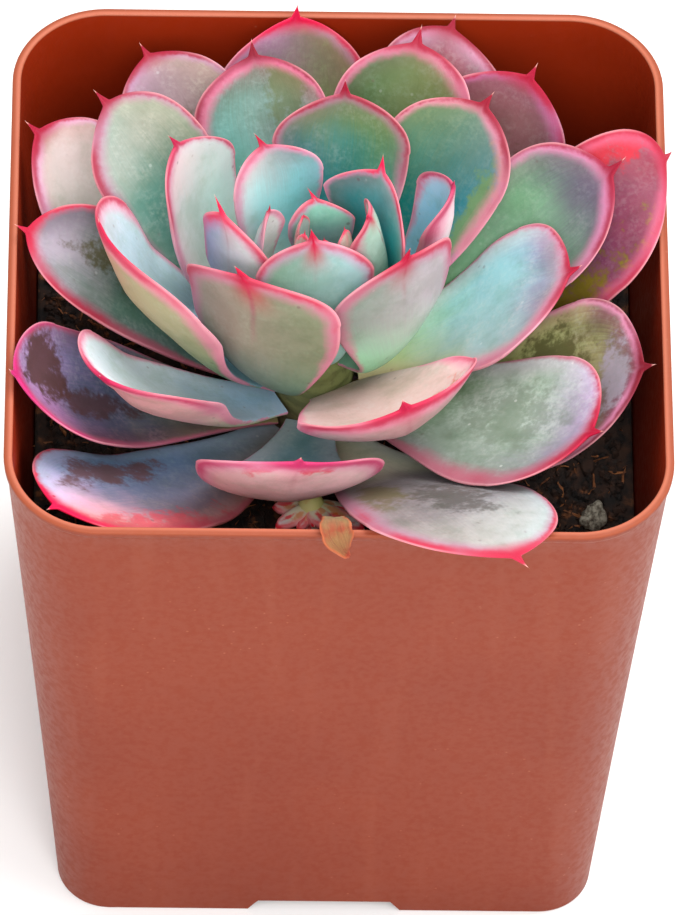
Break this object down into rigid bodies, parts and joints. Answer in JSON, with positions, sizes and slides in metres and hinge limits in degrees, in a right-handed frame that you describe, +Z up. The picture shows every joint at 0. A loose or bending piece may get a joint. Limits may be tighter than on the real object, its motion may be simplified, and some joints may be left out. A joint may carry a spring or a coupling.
{
  "type": "potted succulent",
  "caption": "Rosette succulent with cupped, pointed blue-green leaves edged in pink, growing in soil in a tapered square plastic nursery pot with rounded corners.",
  "frame": {"origin": "centre of the whole object's bounding box in X and Y, on the plane the pot's feet stand on", "axes": "+Z up out of the pot, -Y towards the front as pictured, +X to the right as seen from the front"},
  "size_m": [0.091, 0.0992, 0.124],
  "materials": {
    "pot_plastic": "satin, terracotta coloured",
    "potting_soil": "rough, loose peat and bark",
    "stem_skin": "matte plant stem",
    "outer_leaf": "matte waxy leaf, lavender grey with pink margin",
    "middle_leaf": "matte waxy leaf, grey green with pink margin",
    "inner_leaf": "matte waxy leaf, blue green with thin pink margin",
    "offset_leaf": "matte waxy leaf, pale green with pink tips",
    "dry_leaf": "dry and papery",
    "perlite": "rough mineral grain"
  },
  "bodies": {
    "root": {"pot": "pot_plastic", "soil": "potting_soil", "stem": "stem_skin", "leaf_outer_01": "outer_leaf", "leaf_outer_02": "outer_leaf", "leaf_outer_03": "outer_leaf", "leaf_outer_04": "outer_leaf", "leaf_outer_05": "outer_leaf", "leaf_outer_06": "outer_leaf", "leaf_outer_07": "outer_leaf", "leaf_outer_08": "outer_leaf", "leaf_outer_09": "outer_leaf", "leaf_outer_10": "outer_leaf", "leaf_outer_11": "outer_leaf", "leaf_outer_12": "outer_leaf", "leaf_middle_01": "middle_leaf", "leaf_middle_02": "middle_leaf", "leaf_middle_03": "middle_leaf", "leaf_middle_04": "middle_leaf", "leaf_middle_05": "middle_leaf", "leaf_middle_06": "middle_leaf", "leaf_middle_07": "middle_leaf", "leaf_middle_08": "middle_leaf", "leaf_middle_09": "middle_leaf", "leaf_middle_10": "middle_leaf", "leaf_inner_01": "inner_leaf", "leaf_inner_02": "inner_leaf", "leaf_inner_03": "inner_leaf", "leaf_inner_04": "inner_leaf", "leaf_inner_05": "inner_leaf", "leaf_inner_06": "inner_leaf", "leaf_heart_01": "inner_leaf", "leaf_heart_02": "inner_leaf", "leaf_heart_03": "inner_leaf", "leaf_heart_04": "inner_leaf", "leaf_heart_05": "inner_leaf", "leaf_heart_06": "inner_leaf", "leaf_bud": "inner_leaf", "offset_plant": "offset_leaf", "dried_leaf": "dry_leaf", "perlite_grain_1": "perlite", "perlite_grain_2": "perlite", "perlite_grain_3": "perlite", "perlite_grain_4": "perlite"}
  },
  "joints": []
}
